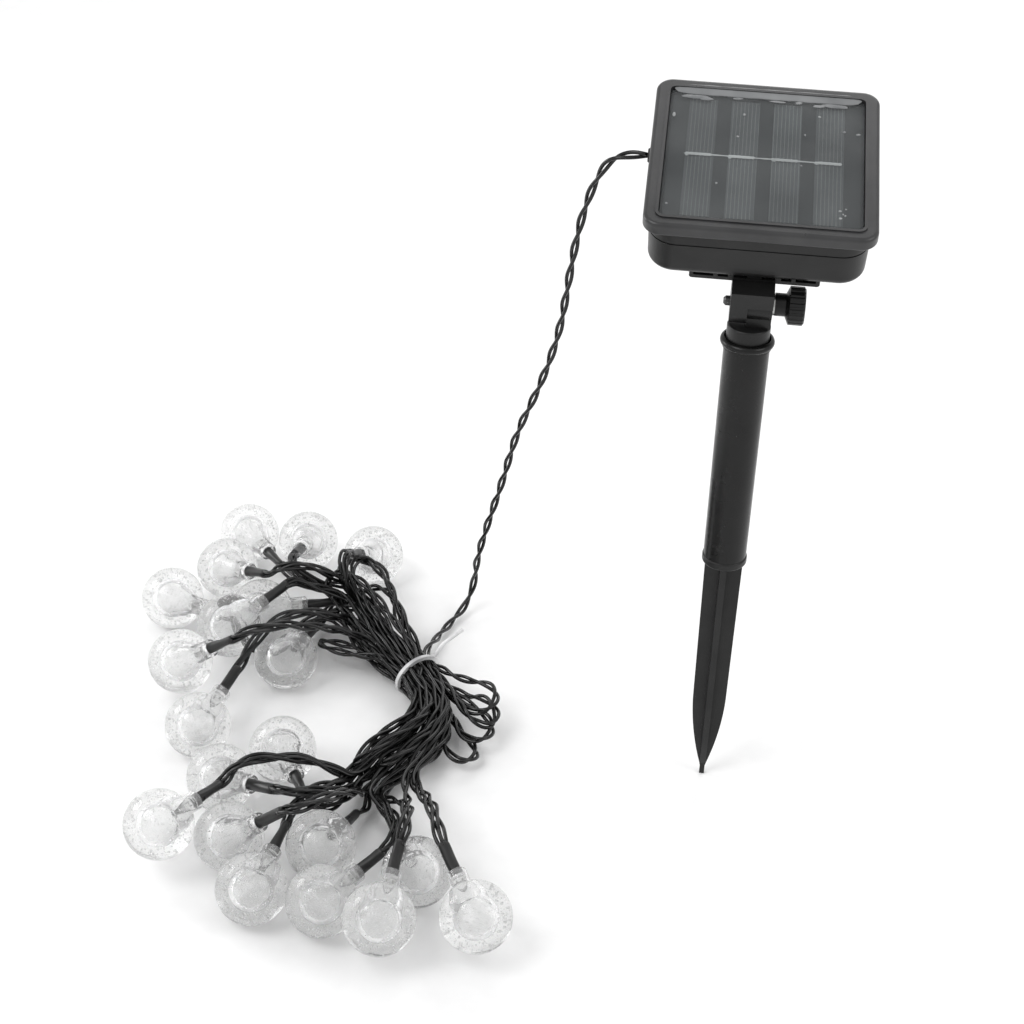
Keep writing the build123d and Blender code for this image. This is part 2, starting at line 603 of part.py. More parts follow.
def make_hank(stations, bulbs):
    """The outer shape of one side of the hank, cut clear of any sleeve that runs into it."""
    solid = loft([station(values) for values in stations])
    for bulb in bulbs:
        middle = (NECK_END + SLEEVE_END) / 2 + 0.5
        room = Cylinder(SLEEVE_RADIUS + 0.3, SLEEVE_END - NECK_END + 1.6)
        solid -= bulb_axis(bulb) * Pos(0, 0, middle) * room
    return solid


def make_tie():
    """A wire round the waist with its two ends twisted into a short tail."""
    x, y, heading, width, height = WAIST
    turn = math.radians(heading)
    place = Plane(
        origin=(x, y, HANK_FLOOR + height / 2),
        x_dir=(-math.sin(turn), math.cos(turn), 0),
        z_dir=(math.cos(turn), math.sin(turn), 0),
    )
    outer = place * Ellipse(width / 2 + 2 * TIE_RADIUS, height / 2 + 2 * TIE_RADIUS)
    inner = place * Ellipse(width / 2, height / 2)
    band = extrude(outer - inner, TIE_RADIUS, both=True)
    band &= slab(80, 80, 0, 60, x=x, y=y)
    tail = tube_along(TIE_TAIL, TIE_RADIUS, "tie tail")
    return band + tail


def make_globe(bulb):
    """A clear ball with a socket, hollow where its lamp shines."""
    ball = Sphere(BALL_RADIUS)
    neck = Pos(0, 0, (12 + NECK_END) / 2) * Cylinder(NECK_RADIUS, NECK_END - 12)
    globe = ball + neck
    cavity = Sphere(CAVITY_RADIUS)
    cavity += Pos(0, 0, 9) * Cone(6.6, NECK_BORE, 10)
    cavity += Pos(0, 0, (13 + NECK_END) / 2 + 0.5) * Cylinder(NECK_BORE, NECK_END - 13 + 1)
    return bulb_axis(bulb) * (globe - cavity)


def make_lamp(bulb):
    """A 5 mm lamp: a domed body and its flange, which seats in the globe's socket."""
    body = Pos(0, 0, (LAMP_TIP + LAMP_RADIUS + FLANGE_START) / 2) * Cylinder(
        LAMP_RADIUS, FLANGE_START - LAMP_TIP - LAMP_RADIUS)
    dome = Pos(0, 0, LAMP_TIP + LAMP_RADIUS) * Sphere(LAMP_RADIUS)
    flange = Cylinder(NECK_BORE - 0.02, FLANGE_END - FLANGE_START)
    flange = Pos(0, 0, (FLANGE_START + FLANGE_END) / 2) * flange
    return bulb_axis(bulb) * (body + dome + flange)


def make_sleeve(bulb):
    """A shrink sleeve over the lamp's legs and the four wires."""
    sleeve = Pos(0, 0, (FLANGE_END + SLEEVE_END) / 2) * Cylinder(SLEEVE_RADIUS, SLEEVE_END - FLANGE_END)
    return bulb_axis(bulb) * fillet(sleeve.edges(), 0.3)


def make_tail(index, bulb, hanks):
    """The four wires from a sleeve to the hank, as one round bundle."""
    axis = bulb_axis(bulb)
    start = axis.origin + axis.z_dir * SLEEVE_END
    points = [tuple(start), tuple(start + axis.z_dir * TAIL_STRAIGHT), *TAILS[index]]
    tail = tube_along(points, TAIL_RADIUS, f"tail {index + 1}")
    for hank in hanks:
        tail -= hank
    return tail


def main_piece(shape):
    """The largest solid of a cut shape."""
    return sorted(shape.solids(), key=lambda solid: solid.volume)[-1]


os.makedirs("parts", exist_ok=True)

save(make_spike(), "spike")
save(make_stake_tube(), "stake_tube")
save(make_swivel_post(), "swivel_post")
save(make_hinge_bolt(), "hinge_bolt")
save(make_hinge_nut(), "hinge_nut")
save(make_washer(), "hinge_washer")
save(make_tilt_knob(), "tilt_knob")
save(make_mount_bracket(), "mount_bracket")

save(make_lower_casing(), "lower_casing")
save(make_casing_seal(), "casing_seal")
save(make_upper_casing(), "upper_casing")
save(make_panel_frame(), "panel_frame")
save(make_panel_board(), "panel_board")
save(make_solar_cells(), "solar_cells")
save(make_bus_ribbon(), "bus_ribbon")
save(make_panel_cover(), "panel_cover")

save(make_battery_cell(), "battery_cell")
save(make_battery_holder(), "battery_holder")
save(make_contact_plate(), "contact_plate")
save(make_contact_spring(), "contact_spring")
save(make_circuit_board(), "circuit_board")
save(make_board_components(), "board_components")
save(make_tact_switches(), "tact_switches")
save(make_button(-1), "power_button")
save(make_button(1), "mode_button")
save(make_button_seals(), "button_seals")
save(make_casing_screws(), "casing_screws")
save(make_cable_gland(), "cable_gland")
save(make_panel_wires(), "panel_wires")

hank_upper = make_hank(UPPER_STATIONS, BULBS)
hank_lower = make_hank(LOWER_STATIONS, BULBS)
save(hank_upper, "hank_upper")
save(hank_lower, "hank_lower")
save(make_tie(), "twist_tie")

gland_face = in_head(Pos(GLAND_FACE_X, GLAND_Y, GLAND_Z)).position
lead_start = [tuple(gland_face), tuple(gland_face - Vector(LEAD_STRAIGHT, 0, 0))]
lead = tube_along([*lead_start, *LEAD_ROUTE], LEAD_DIAMETER / 2, "lead")
save(main_piece(lead - hank_upper), "lead_cord")

tails = [main_piece(make_tail(i, bulb, (hank_upper, hank_lower))) for i, bulb in enumerate(BULBS)]
save(Compound(children=tails), "bulb_tails")
save(Compound(children=[make_lamp(bulb) for bulb in BULBS]), "led_lamps")
save(Compound(children=[make_sleeve(bulb) for bulb in BULBS]), "lamp_sleeves")
for number, bulb in enumerate(BULBS, start=1):
    save(make_globe(bulb), f"crystal_globe_{number:02d}")
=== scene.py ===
import math
import random

import bmesh
import bpy
import numpy as np
from mathutils import Matrix, Vector


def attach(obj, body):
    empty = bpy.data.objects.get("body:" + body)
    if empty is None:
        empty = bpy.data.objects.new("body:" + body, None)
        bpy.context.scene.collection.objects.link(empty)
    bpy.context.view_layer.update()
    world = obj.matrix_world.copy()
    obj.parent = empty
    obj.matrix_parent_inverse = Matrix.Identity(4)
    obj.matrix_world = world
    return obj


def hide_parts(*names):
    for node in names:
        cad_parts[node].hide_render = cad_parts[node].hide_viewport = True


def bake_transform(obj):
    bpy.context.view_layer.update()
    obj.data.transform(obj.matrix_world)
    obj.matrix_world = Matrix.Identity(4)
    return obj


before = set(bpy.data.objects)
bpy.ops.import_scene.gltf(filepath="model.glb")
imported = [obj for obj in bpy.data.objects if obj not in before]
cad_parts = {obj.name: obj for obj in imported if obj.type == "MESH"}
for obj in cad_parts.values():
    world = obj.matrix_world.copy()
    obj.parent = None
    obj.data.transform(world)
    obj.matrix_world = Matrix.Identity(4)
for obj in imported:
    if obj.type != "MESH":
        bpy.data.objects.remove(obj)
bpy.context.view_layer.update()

# ---- camera ----
CAMERA_PLACE = (-0.02513, -0.76063, 0.62873)
CAMERA_PITCH = 33.07     # degrees down
CAMERA_YAW = 4.98
CAMERA_ROLL = 2.32
CAMERA_LENS = 75.3

# ---- the string's sizes, in metres ----
WIRE_RADIUS = 0.00085
WIRE_OFFSET = 0.00105    # each wire's centre from the pair's centreline
LEAD_TWIST = 0.030       # one full turn of the pair
LINK_TWIST = 0.038
RING_STEP = 0.0014
PAIR_SPREAD = 0.0012     # the two pairs of a tail from its middle
SLEEVE_SPREAD = 0.0008
BALL_RADIUS = 0.015
NECK_RADIUS = 0.00425
NECK_END = 0.022
NECK_BORE = 0.003
CAVITY_RADIUS = 0.0076
SLEEVE_START = 0.0195
SLEEVE_END = 0.037
SLEEVE_RADIUS = 0.0026
TAIL_STRAIGHT = 0.003

# Each bulb's ball: centre, heading and lift of its neck in degrees
BULBS = [
    (-0.238, 0.137, 0.015, -52, 3),
    (-0.207, 0.135, 0.015, -90, 23),
    (-0.172, 0.127, 0.015, -103, 34),
    (-0.242, 0.103, 0.016, -43, 24),
    (-0.263, 0.075, 0.015, -26, 6),
    (-0.245, 0.018, 0.021, -18, 38),
    (-0.228, -0.02, 0.015, 72, 13),
    (-0.227, 0.0416, 0.0266, 53, 9),
    (-0.199, 0.036, 0.015, 79, -12),
    (-0.218, 0.072, 0.015, 20, 0),
    (-0.225, -0.1015, 0.0275, 59, -3),
    (-0.21, -0.054, 0.015, -36, 22),
    (-0.187, -0.031, 0.015, -64, 6),
    (-0.198, -0.091, 0.015, -20, 43),
    (-0.182, -0.121, 0.015, 78, 8),
    (-0.158, -0.094, 0.018, 75, -17),
    (-0.152, -0.125, 0.016, 58, 2),
    (-0.126, -0.139, 0.023, 85, 16),
    (-0.116, -0.102, 0.016, 112, -20),
    (-0.088, -0.13, 0.021, 120, 15),
]

TAILS = [
    [(-0.208, 0.099, 0.0175), (-0.198, 0.093, 0.017), (-0.184, 0.091, 0.014)],
    [(-0.207, 0.094, 0.032), (-0.204, 0.088, 0.029), (-0.194, 0.088, 0.022), (-0.182, 0.09, 0.015)],
    [(-0.18, 0.091, 0.04), (-0.18, 0.085, 0.037), (-0.177, 0.081, 0.029), (-0.173, 0.083, 0.018)],
    [(-0.211, 0.076, 0.037), (-0.2, 0.08, 0.039), (-0.19, 0.085, 0.032),
     (-0.18, 0.089, 0.025), (-0.172, 0.088, 0.018)],
    [(-0.224, 0.054, 0.01), (-0.217, 0.051, 0.005), (-0.206, 0.054, 0.007),
     (-0.198, 0.064, 0.013), (-0.189, 0.07, 0.016), (-0.176, 0.077, 0.014)],
    [(-0.21, 0.012, 0.047), (-0.198, 0.02, 0.046), (-0.186, 0.034, 0.036),
     (-0.174, 0.05, 0.024), (-0.162, 0.062, 0.014)],
    [(-0.214, 0.023, 0.027), (-0.206, 0.038, 0.034), (-0.193, 0.052, 0.032),
     (-0.179, 0.061, 0.023), (-0.167, 0.071, 0.014)],
    [(-0.2, 0.076, 0.031), (-0.193, 0.079, 0.026), (-0.184, 0.082, 0.023), (-0.174, 0.084, 0.016)],
    [(-0.19, 0.08, 0.007), (-0.18, 0.086, 0.009)],
    [(-0.176, 0.0875, 0.016), (-0.169, 0.086, 0.015)],
    [(-0.202, -0.064, 0.03), (-0.194, -0.06, 0.033), (-0.184, -0.054, 0.03),
     (-0.173, -0.046, 0.024), (-0.16, -0.042, 0.015), (-0.15, -0.04, 0.009)],
    [(-0.175, -0.077, 0.031), (-0.165, -0.072, 0.028), (-0.158, -0.058, 0.019), (-0.152, -0.046, 0.011)],
    [(-0.166, -0.068, 0.016), (-0.161, -0.062, 0.011), (-0.156, -0.054, 0.009), (-0.15, -0.045, 0.007)],
    [(-0.166, -0.102, 0.044), (-0.157, -0.093, 0.043), (-0.151, -0.076, 0.033),
     (-0.148, -0.06, 0.019), (-0.144, -0.046, 0.01)],
    [(-0.173, -0.078, 0.023), (-0.167, -0.067, 0.025), (-0.159, -0.054, 0.018), (-0.15, -0.043, 0.011)],
    [(-0.146, -0.052, 0.005), (-0.142, -0.044, 0.006)],
    [(-0.128, -0.087, 0.019), (-0.129, -0.075, 0.018), (-0.136, -0.06, 0.014), (-0.14, -0.048, 0.009)],
    [(-0.122, -0.096, 0.035), (-0.123, -0.082, 0.033), (-0.127, -0.064, 0.021), (-0.132, -0.048, 0.011)],
    [(-0.13, -0.062, 0.0028), (-0.134, -0.052, 0.006)],
    [(-0.109, -0.092, 0.033), (-0.114, -0.076, 0.031), (-0.12, -0.058, 0.02), (-0.127, -0.044, 0.011)],
]

LEAD_ROUTE = [
    (-0.0625, 0.048, 0.2745),
    (-0.069, 0.0505, 0.259),
    (-0.0735, 0.054, 0.238),
    (-0.0765, 0.0585, 0.212),
    (-0.0795, 0.066, 0.184),
    (-0.0875, 0.074, 0.152),
    (-0.098, 0.082, 0.122),
    (-0.104, 0.0905, 0.091),
    (-0.112, 0.098, 0.058),
    (-0.117, 0.104, 0.034),
    (-0.1185, 0.11, 0.015),
    (-0.122, 0.105, 0.0045),
    (-0.127, 0.094, 0.0028),
    (-0.131, 0.082, 0.0035),
    (-0.133, 0.07, 0.007),
    (-0.136, 0.058, 0.009),
]

GLAND_FACE = (-0.0462, 0.04591, 0.27896)
LEAD_STRAIGHT = 0.008

# The hank's stations: centre x, y, heading of the bundle, width, height
WAIST = (-0.137, 0.041, 138, 0.022, 0.015)
UPPER_STATIONS = [
    (-0.152, 0.060, 126, 0.038, 0.019),
    (-0.169, 0.083, 128, 0.046, 0.026),
    (-0.179, 0.096, 130, 0.038, 0.024),
]
LOWER_STATIONS = [
    (-0.121, 0.020, 115, 0.034, 0.019),
    (-0.119, -0.006, 75, 0.044, 0.020),
    (-0.133, -0.030, 50, 0.054, 0.020),
    (-0.149, -0.048, 47, 0.038, 0.016),
]
HANK_FLOOR = 0.001
STATION_CLEAR = 0.010    # a tail skips the stations closer to its end than this
HANK_INSET = 0.0015      # keeps a pair's outside within the hank's section
HANK_JITTER = 0.072      # share of a section's half size

# The order of the bulbs along the string: it goes from one end of the hank to the other
UPPER_BULBS = [9, 8, 7, 6, 5, 4, 3, 0, 1, 2]
LOWER_BULBS = [11, 10, 12, 13, 14, 19, 16, 18, 17, 15]

# The lead's folds inside and beside the hank, between its passes through the waist
RIGHT_FOLD_1 = [(-0.113, 0.030, 0.016), (-0.101, 0.027, 0.018), (-0.0955, 0.018, 0.018),
                (-0.100, 0.009, 0.015), (-0.111, 0.012, 0.012)]
RIGHT_FOLD_2 = [(-0.112, 0.019, 0.013), (-0.102, 0.014, 0.011), (-0.0955, 0.004, 0.010),
                (-0.100, -0.006, 0.010), (-0.110, -0.002, 0.008), (-0.116, 0.010, 0.009)]
RIGHT_FOLD_3 = [(-0.115, 0.010, 0.006), (-0.106, 0.000, 0.005), (-0.101, -0.011, 0.0055),
                (-0.108, -0.019, 0.007), (-0.117, -0.012, 0.008), (-0.119, 0.006, 0.007)]
RIGHT_FOLD_4 = [(-0.113, 0.025, 0.010), (-0.103, 0.021, 0.015), (-0.0945, 0.011, 0.0145),
                (-0.097, 0.001, 0.012), (-0.108, 0.005, 0.014), (-0.115, 0.018, 0.014)]
LOWER_FOLD = [(-0.121, 0.014, 0.012), (-0.124, -0.012, 0.017), (-0.134, -0.032, 0.018),
              (-0.143, -0.036, 0.015), (-0.141, -0.024, 0.012), (-0.130, -0.004, 0.011)]
LOWER_FOLD_2 = [(-0.124, 0.012, 0.016), (-0.131, -0.012, 0.021), (-0.146, -0.031, 0.020),
                (-0.156, -0.037, 0.014), (-0.150, -0.025, 0.010), (-0.132, -0.004, 0.009)]
UPPER_FOLD_1 = [(-0.146, 0.066, 0.019), (-0.160, 0.092, 0.028), (-0.175, 0.109, 0.026),
                (-0.186, 0.109, 0.020), (-0.184, 0.097, 0.018), (-0.163, 0.072, 0.017)]
UPPER_FOLD_2 = [(-0.145, 0.060, 0.016), (-0.152, 0.079, 0.023), (-0.163, 0.093, 0.021),
                (-0.173, 0.094, 0.016), (-0.169, 0.080, 0.014), (-0.155, 0.060, 0.012)]
UPPER_FOLD_3 = [(-0.150, 0.070, 0.012), (-0.158, 0.096, 0.018), (-0.165, 0.107, 0.024),
                (-0.176, 0.104, 0.030), (-0.178, 0.091, 0.027), (-0.160, 0.066, 0.020)]
UPPER_FOLD_4 = [(-0.148, 0.062, 0.018), (-0.166, 0.080, 0.029), (-0.182, 0.092, 0.030),
                (-0.190, 0.090, 0.023), (-0.184, 0.079, 0.018), (-0.162, 0.061, 0.016)]
LEFT_FOLD = [(-0.150, 0.048, 0.012), (-0.168, 0.045, 0.013), (-0.184, 0.052, 0.011),
             (-0.188, 0.058, 0.010), (-0.180, 0.060, 0.009), (-0.162, 0.053, 0.010)]

# ---- light and detail ----
ROOM_LIGHT = 0.80
KEY_POWER = 9.0
BUBBLE_COUNT = 620

# ---- the head's detail, in its own frame ----
HINGE_HEIGHT = 0.240
REST_TILT = 16.3
COVER_HEIGHT = 0.0399    # top of the panel's clear cover
STRIP_HALF = 0.0378
STRIP_PLACE = (0.0788, 0.0406)       # y, z
STRIP_WIDTH = 0.0050
STRIP_HEIGHT = 0.0007
STRIP_TILT = 0.30
RIBBON_PLACE = (0.0405, 0.03918)     # y, z
RIBBON_WIDTH = 0.0008
RIBBON_HEIGHT = 0.00018
RIBBON_SHIFT = -0.0006
TAB_HALF = 0.0049
TAB_WIDTH = 0.0017
TAB_HEIGHT = 0.0002
SOLDER_SIZE = (0.0022, 0.0022, 0.0003)
SOLDER_FOOT = 0.0389
CELL_X = (-0.0255, -0.0085, 0.0085, 0.0255)

# Bubbles and glue in the panel's skin: x, y, width, depth
BUBBLES = [
    (-0.037, 0.063, 0.0012, 0.0032), (-0.009, 0.066, 0.0012, 0.0014),
    (-0.011, 0.052, 0.0011, 0.0011), (0.021, 0.068, 0.0013, 0.0010),
    (0.0155, 0.056, 0.0009, 0.0012), (0.031, 0.0595, 0.0012, 0.0012),
    (0.0365, 0.0585, 0.0018, 0.0013), (-0.018, 0.023, 0.0011, 0.0010),
    (-0.0365, 0.009, 0.0010, 0.0013), (0.030, 0.012, 0.0011, 0.0011),
    (0.032, 0.0095, 0.0008, 0.0009), (0.0145, 0.037, 0.0009, 0.0008),
    (0.0302, 0.0078, 0.0015, 0.0011), (0.0322, 0.0132, 0.0008, 0.0008),
    (0.0312, 0.0102, 0.0007, 0.0008),
]
PATCHES = [
    (-0.029, 0.0752, 0.0105, 0.0028), (-0.0245, 0.0742, 0.0050, 0.0020),
    (0.027, 0.0754, 0.0100, 0.0027), (0.0205, 0.0746, 0.0042, 0.0018),
    (-0.012, 0.0758, 0.0040, 0.0014), (0.004, 0.0756, 0.0062, 0.0012), (0.0125, 0.0758, 0.0030, 0.0016),
]


# ---- materials ----
def shader(name):
    """A new material with its tree and its Principled node."""
    material = bpy.data.materials.new(name)
    material.use_nodes = True
    tree = material.node_tree
    return material, tree, tree.nodes["Principled BSDF"]


def add_node(tree, kind, inputs=None, **settings):
    made = tree.nodes.new(kind)
    for key, value in settings.items():
        setattr(made, key, value)
    for key, value in (inputs or {}).items():
        made.inputs[key].default_value = value
    return made


def noise(tree, scale, detail=3.0):
    """Noise in the piece's own metres."""
    place = add_node(tree, "ShaderNodeTexCoord")
    texture = add_node(tree, "ShaderNodeTexNoise", {"Scale": scale, "Detail": detail})
    tree.links.new(place.outputs["Object"], texture.inputs["Vector"])
    return texture.outputs["Fac"]


def remap(tree, value, low, high, start=0.3, end=0.7):
    made = add_node(tree, "ShaderNodeMapRange",
                    {"From Min": start, "From Max": end, "To Min": low, "To Max": high})
    tree.links.new(value, made.inputs["Value"])
    return made.outputs["Result"]


def two_tone(tree, value, dark, light):
    """A colour that runs between two as the value does."""
    ramp = add_node(tree, "ShaderNodeValToRGB")
    ramp.color_ramp.elements[0].position = 0.35
    ramp.color_ramp.elements[1].position = 0.65
    ramp.color_ramp.elements[0].color = (*dark, 1)
    ramp.color_ramp.elements[1].color = (*light, 1)
    tree.links.new(value, ramp.inputs["Fac"])
    return ramp.outputs["Color"]


def add_bump(tree, principled, height, strength, distance):
    bump = add_node(tree, "ShaderNodeBump", {"Strength": strength, "Distance": distance})
    tree.links.new(height, bump.inputs["Height"])
    tree.links.new(bump.outputs["Normal"], principled.inputs["Normal"])


def moulded(name, dark, light, roughness, grain=1400.0, strength=0.25, metallic=0.0, ior=1.42):
    """Moulded plastic, rubber or metal: mottled colour, uneven gloss and a fine surface grain. Where dark and
    light are far apart, as on the twist tie, the mottling is painted crinkle shade and highlights.
    """
    material, tree, principled = shader(name)
    principled.inputs["Metallic"].default_value = metallic
    principled.inputs["IOR"].default_value = ior
    colour = two_tone(tree, noise(tree, 60.0), dark, light)
    tree.links.new(colour, principled.inputs["Base Color"])
    gloss = remap(tree, noise(tree, 90.0, 5.0), roughness - 0.06, roughness + 0.07)
    tree.links.new(gloss, principled.inputs["Roughness"])
    add_bump(tree, principled, noise(tree, grain, 2.0), strength, 0.00012)
    return material


def clear_resin(name, tint, roughness, ior=1.49, grain=300.0, strength=0.06, clearness=1.0):
    """Clear moulded resin with a slightly uneven surface."""
    material, tree, principled = shader(name)
    principled.inputs["Transmission Weight"].default_value = clearness
    principled.inputs["IOR"].default_value = ior
    tone = two_tone(tree, noise(tree, 120.0), tint, (1.0, 1.0, 1.0))
    tree.links.new(tone, principled.inputs["Base Color"])
    gloss = remap(tree, noise(tree, 150.0), roughness, roughness + 0.03)
    tree.links.new(gloss, principled.inputs["Roughness"])
    add_bump(tree, principled, noise(tree, grain, 2.0), strength, 0.0002)
    return material


def cell_material():
    """Silicon strips: grey with fine paler fingers along each strip."""
    material, tree, principled = shader("silicon_cells")
    place = add_node(tree, "ShaderNodeTexCoord")
    parts = add_node(tree, "ShaderNodeSeparateXYZ")
    tree.links.new(place.outputs["Object"], parts.inputs[0])
    pitch = add_node(tree, "ShaderNodeMath", {1: 0.0015}, operation="DIVIDE")
    share = add_node(tree, "ShaderNodeMath", operation="FRACT")
    line = add_node(tree, "ShaderNodeMath", {1: 0.16}, operation="LESS_THAN")
    tree.links.new(parts.outputs["X"], pitch.inputs[0])
    tree.links.new(pitch.outputs[0], share.inputs[0])
    tree.links.new(share.outputs[0], line.inputs[0])
    base = two_tone(tree, noise(tree, 45.0), (0.21, 0.215, 0.22), (0.27, 0.275, 0.28))
    mix = add_node(tree, "ShaderNodeMix", {"B": (0.62, 0.63, 0.63, 1)}, data_type="RGBA")
    tree.links.new(line.outputs[0], mix.inputs["Factor"])
    tree.links.new(base, mix.inputs["A"])
    tree.links.new(mix.outputs["Result"], principled.inputs["Base Color"])
    gloss = remap(tree, noise(tree, 200.0), 0.3, 0.45)
    tree.links.new(gloss, principled.inputs["Roughness"])
    return material


def cover_material():
    """The panel's poured resin: mostly see-through, a little milky, with a glossy skin."""
    material, tree, principled = shader("panel_resin")
    output = tree.nodes["Material Output"]
    milky = two_tone(tree, noise(tree, 28.0, 5.0), (0.075, 0.079, 0.082), (0.12, 0.125, 0.128))
    tree.links.new(milky, principled.inputs["Base Color"])
    gloss = remap(tree, noise(tree, 70.0, 4.0), 0.08, 0.2)
    tree.links.new(gloss, principled.inputs["Roughness"])
    add_bump(tree, principled, noise(tree, 110.0, 2.0), 0.12, 0.0004)
    clear = add_node(tree, "ShaderNodeBsdfTransparent", {"Color": (0.93, 0.95, 0.95, 1)})
    mix = add_node(tree, "ShaderNodeMixShader", {"Fac": 0.5})
    tree.links.new(remap(tree, noise(tree, 35.0, 4.0), 0.34, 0.46), mix.inputs["Fac"])
    tree.links.new(clear.outputs[0], mix.inputs[1])
    tree.links.new(principled.outputs[0], mix.inputs[2])
    tree.links.new(mix.outputs[0], output.inputs["Surface"])
    return material


CASING = moulded("casing_abs", (0.007, 0.007, 0.007), (0.012, 0.012, 0.012), 0.34, 2200.0, 0.22, ior=1.38)
FRAME = moulded("frame_abs", (0.020, 0.020, 0.021), (0.030, 0.030, 0.031), 0.33, 2200.0, 0.20, ior=1.5)
KNUCKLE = moulded("knuckle_abs", (0.006, 0.006, 0.006), (0.010, 0.010, 0.010), 0.36, 1600.0, 0.3, ior=1.38)
TUBE = moulded("tube_abs", (0.003, 0.003, 0.003), (0.006, 0.006, 0.006), 0.27, 1100.0, 0.16, ior=1.36)
SPIKE = moulded("spike_abs", (0.006, 0.006, 0.006), (0.012, 0.012, 0.012), 0.36, 900.0, 0.35, ior=1.38)
KNOB = moulded("knob_abs", (0.004, 0.004, 0.004), (0.008, 0.008, 0.008), 0.34, 1800.0, 0.25, ior=1.36)
RUBBER = moulded("soft_rubber", (0.013, 0.013, 0.013), (0.022, 0.022, 0.022), 0.62, 1500.0, 0.4)
STEEL = moulded("plain_steel", (0.42, 0.42, 0.41), (0.55, 0.55, 0.54), 0.28, 2500.0, 0.15, metallic=1.0)
DARK_STEEL = moulded("black_steel", (0.05, 0.05, 0.05), (0.09, 0.09, 0.09), 0.35, 2500.0, 0.2, metallic=0.8)
TINNED = moulded("tinned", (0.62, 0.63, 0.63), (0.82, 0.83, 0.83), 0.35, 1500.0, 0.3, metallic=0.15)
BOARD = moulded("circuit_green", (0.01, 0.09, 0.03), (0.02, 0.13, 0.05), 0.4, 1200.0, 0.2)
PANEL_BACK = moulded("panel_black", (0.030, 0.031, 0.033), (0.046, 0.047, 0.050), 0.4, 900.0, 0.2)
BATTERY = moulded("battery_wrap", (0.05, 0.12, 0.28), (0.07, 0.16, 0.34), 0.3, 1200.0, 0.1)
WIRE = moulded("wire_pvc", (0.003, 0.003, 0.003), (0.006, 0.006, 0.006), 0.20, 1500.0, 0.08, ior=1.45)
SHRINK = moulded("shrink_sleeve", (0.010, 0.010, 0.010), (0.018, 0.018, 0.018), 0.33, 1300.0, 0.3)
# The twist tie's strong dark-to-pale mottling is painted shade in its crinkles' gaps and painted highlights
# on their ridges.
TIE_PAINTED_CRINKLES = moulded("tie_paper_painted_crinkle_shade", (0.22, 0.22, 0.23), (0.92, 0.92, 0.92), 0.35, 520.0, 1.0)
LEGS = moulded("lamp_legs", (0.45, 0.45, 0.46), (0.62, 0.62, 0.62), 0.3, 2500.0, 0.2, metallic=0.9)
BUBBLE = clear_resin("bubble_skin", (0.97, 0.97, 0.97), 0.12, ior=1.08, clearness=0.55)
BUBBLE.node_tree.nodes["Principled BSDF"].inputs["Transmission Weight"].default_value = 0.55
ACRYLIC = clear_resin("clear_acrylic", (0.89, 0.893, 0.893), 0.04, ior=1.26, strength=0.03, clearness=0.87)
LENS = clear_resin("lamp_lens", (0.97, 0.97, 0.96), 0.03, ior=1.35)
CELLS = cell_material()
RESIN = cover_material()
FLECK = moulded("resin_fleck", (0.16, 0.165, 0.17), (0.30, 0.31, 0.31), 0.25, 2500.0, 0.5)
GLUE = moulded("pale_glue", (0.13, 0.135, 0.14), (0.24, 0.245, 0.25), 0.3, 800.0, 0.5)
SEAM = moulded("glue_seam", (0.17, 0.175, 0.18), (0.23, 0.235, 0.24), 0.35, 800.0, 0.4)

NODE_MATERIALS = {
    "spike": SPIKE, "stake_tube": TUBE, "swivel_post": KNUCKLE, "mount_bracket": KNUCKLE,
    "lower_casing": CASING, "upper_casing": CASING, "panel_frame": FRAME, "tilt_knob": KNOB,
    "casing_seal": RUBBER, "button_seals": RUBBER, "power_button": RUBBER, "mode_button": RUBBER,
    "hinge_washer": STEEL, "hinge_nut": DARK_STEEL, "hinge_bolt": DARK_STEEL, "casing_screws": DARK_STEEL,
    "panel_board": PANEL_BACK, "solar_cells": CELLS, "bus_ribbon": TINNED, "panel_cover": RESIN,
    "battery_cell": BATTERY, "battery_holder": CASING, "contact_plate": STEEL,
    "contact_spring": STEEL, "circuit_board": BOARD, "board_components": DARK_STEEL,
    "tact_switches": DARK_STEEL, "cable_gland": RUBBER, "panel_wires": WIRE, "twist_tie": TIE_PAINTED_CRINKLES,
    "led_lamps": LENS,
}
for node_name, material in NODE_MATERIALS.items():
    for material_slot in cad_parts[node_name].material_slots:
        material_slot.material = material


# ---- camera, floor and light ----
def place_camera():
    pitch, yaw, roll = (math.radians(a) for a in (CAMERA_PITCH, CAMERA_YAW, CAMERA_ROLL))
    forward = Vector((-math.sin(yaw) * math.cos(pitch), math.cos(yaw) * math.cos(pitch), -math.sin(pitch)))
    level = Vector((math.cos(yaw), math.sin(yaw), 0))
    up = level.cross(forward)
    right = math.cos(roll) * level + math.sin(roll) * up
    top = -math.sin(roll) * level + math.cos(roll) * up
    data = bpy.data.cameras.new("camera")
    data.lens = CAMERA_LENS
    data.sensor_width = 36.0
    data.clip_start = 0.01
    camera = bpy.data.objects.new("camera", data)
    bpy.context.scene.collection.objects.link(camera)
    turn = Matrix((right, top, -forward)).transposed().to_4x4()
    camera.matrix_world = Matrix.Translation(CAMERA_PLACE) @ turn
    bpy.context.scene.camera = camera


def soft_light(name, place, aim, size, power):
    data = bpy.data.lights.new(name, "AREA")
    data.shape = "DISK"
    data.size = size
    data.energy = power
    lamp = bpy.data.objects.new(name, data)
    lamp.location = place
    lamp.rotation_euler = (Vector(aim) - Vector(place)).to_track_quat("-Z", "Y").to_euler()
    bpy.context.scene.collection.objects.link(lamp)


